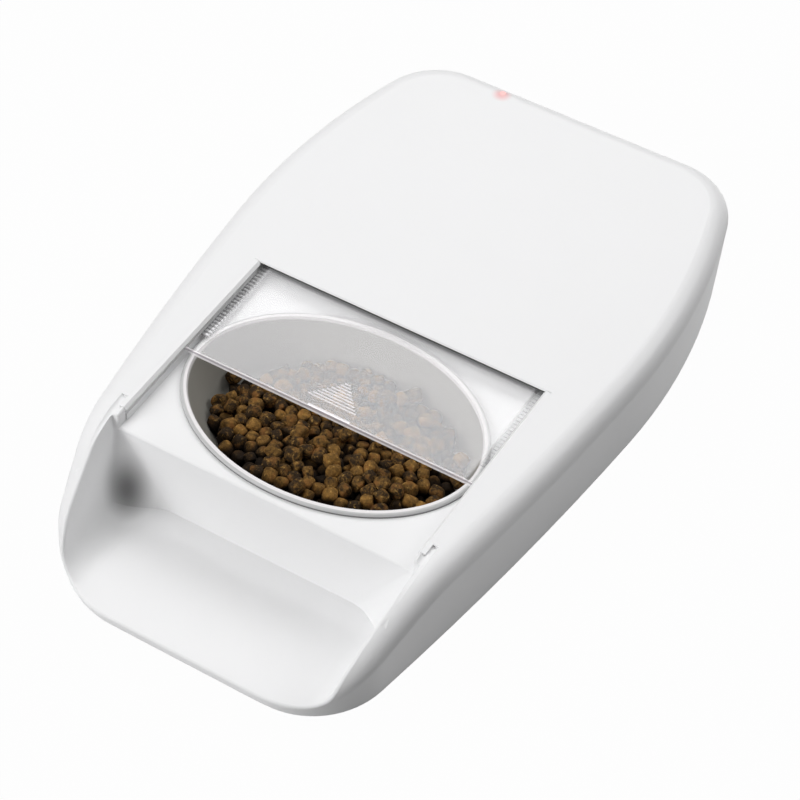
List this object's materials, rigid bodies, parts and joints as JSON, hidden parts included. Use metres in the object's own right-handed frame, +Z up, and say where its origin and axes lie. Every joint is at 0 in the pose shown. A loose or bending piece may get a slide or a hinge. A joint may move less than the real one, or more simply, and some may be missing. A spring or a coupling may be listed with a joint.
{
  "type": "microchip pet feeder",
  "caption": "Low automatic feeder: a motor slides a clear lid back into the housing to uncover a sunken oval bowl when it reads a pet's chip.",
  "frame": {"origin": "bottom centre of the feeder, on the floor between its feet", "axes": "+X to the feeder's right, +Y to its rear, +Z up; the pet eats from -Y"},
  "size_m": [0.2196, 0.3487, 0.06],
  "materials": {
    "white_plastic": "satin",
    "bowl_plastic": "satin",
    "base_plastic": "fine texture",
    "clear_plastic": "clear",
    "light_pipe": "clear red",
    "gear_plastic": "moulded acetal",
    "steel": "ground",
    "brass": "turned",
    "copper": "enamelled wire",
    "board": "solder mask",
    "black_plastic": "moulded",
    "battery": "wrapped cell",
    "rubber": "matt",
    "kibble": "baked crumb"
  },
  "bodies": {
    "feeder": {"upper_housing": "white_plastic", "rear_panel": "white_plastic", "left_guide_rail": "white_plastic", "right_guide_rail": "white_plastic", "bowl": "bowl_plastic", "base_plate": "base_plastic", "motor_bracket": "base_plastic", "coil_former": "base_plastic", "status_light_pipe": "light_pipe", "status_led": "light_pipe", "idler_pin": "steel", "motor": "steel", "gearbox": "brass", "housing_screws": "steel", "battery_contacts": "steel", "left_bush": "brass", "right_bush": "brass", "antenna_coil": "copper", "main_board": "board", "button_board": "board", "board_components": "black_plastic", "open_switch": "black_plastic", "closed_switch": "black_plastic", "learn_switch": "black_plastic", "power_switch": "black_plastic", "battery_cells": "battery", "rubber_feet": "rubber", "kibble": "kibble"},
    "lid": {"lid": "clear_plastic", "left_rack": "clear_plastic", "right_rack": "clear_plastic"},
    "drive_shaft": {"drive_shaft": "steel", "left_pinion": "gear_plastic", "right_pinion": "gear_plastic", "shaft_gear": "gear_plastic"},
    "idler": {"idler_gear": "gear_plastic"},
    "motor_gear": {"motor_gear": "gear_plastic", "motor_shaft": "steel"},
    "learn_button": {"learn_button": "white_plastic", "learn_plunger": "black_plastic"},
    "power_button": {"power_button": "white_plastic", "power_plunger": "black_plastic"},
    "battery_door": {"battery_door": "base_plastic"}
  },
  "joints": [
    {"name": "lid_slide", "type": "slide", "parent": "feeder", "child": "lid", "axis": [0, 1, 0], "range_m": [-0.0455, 0.057]},
    {"name": "shaft_spin", "type": "hinge", "parent": "feeder", "child": "drive_shaft", "pos_m": [0, 0.02, 0.0507], "axis": [1, 0, 0], "range_deg": [-780, 623]},
    {"name": "idler_spin", "type": "hinge", "parent": "feeder", "child": "idler", "pos_m": [0.08775, 0.02, 0.0381], "axis": [1, 0, 0], "range_deg": [-312, 391]},
    {"name": "motor_gear_spin", "type": "hinge", "parent": "feeder", "child": "motor_gear", "pos_m": [0.08775, 0.0326, 0.0381], "axis": [1, 0, 0], "range_deg": [-780, 623]},
    {"name": "learn_button_press", "type": "slide", "parent": "feeder", "child": "learn_button", "axis": [0, -1, 0], "range_m": [0, 0.0005], "stiffness_N_per_m": 1500, "springref_m": -0.0003},
    {"name": "power_button_press", "type": "slide", "parent": "feeder", "child": "power_button", "axis": [0, -1, 0], "range_m": [0, 0.0005], "stiffness_N_per_m": 1500, "springref_m": -0.0003},
    {"name": "battery_door_hinge", "type": "hinge", "parent": "feeder", "child": "battery_door", "pos_m": [0, 0.0703, 0.00275], "axis": [-1, 0, 0], "range_deg": [0, 95]}
  ],
  "couplings": [
    {"joint": "shaft_spin", "follows": "lid_slide", "rad_per_m": -238.1},
    {"joint": "idler_spin", "follows": "lid_slide", "rad_per_m": 119.05},
    {"joint": "motor_gear_spin", "follows": "lid_slide", "rad_per_m": -238.1}
  ]
}
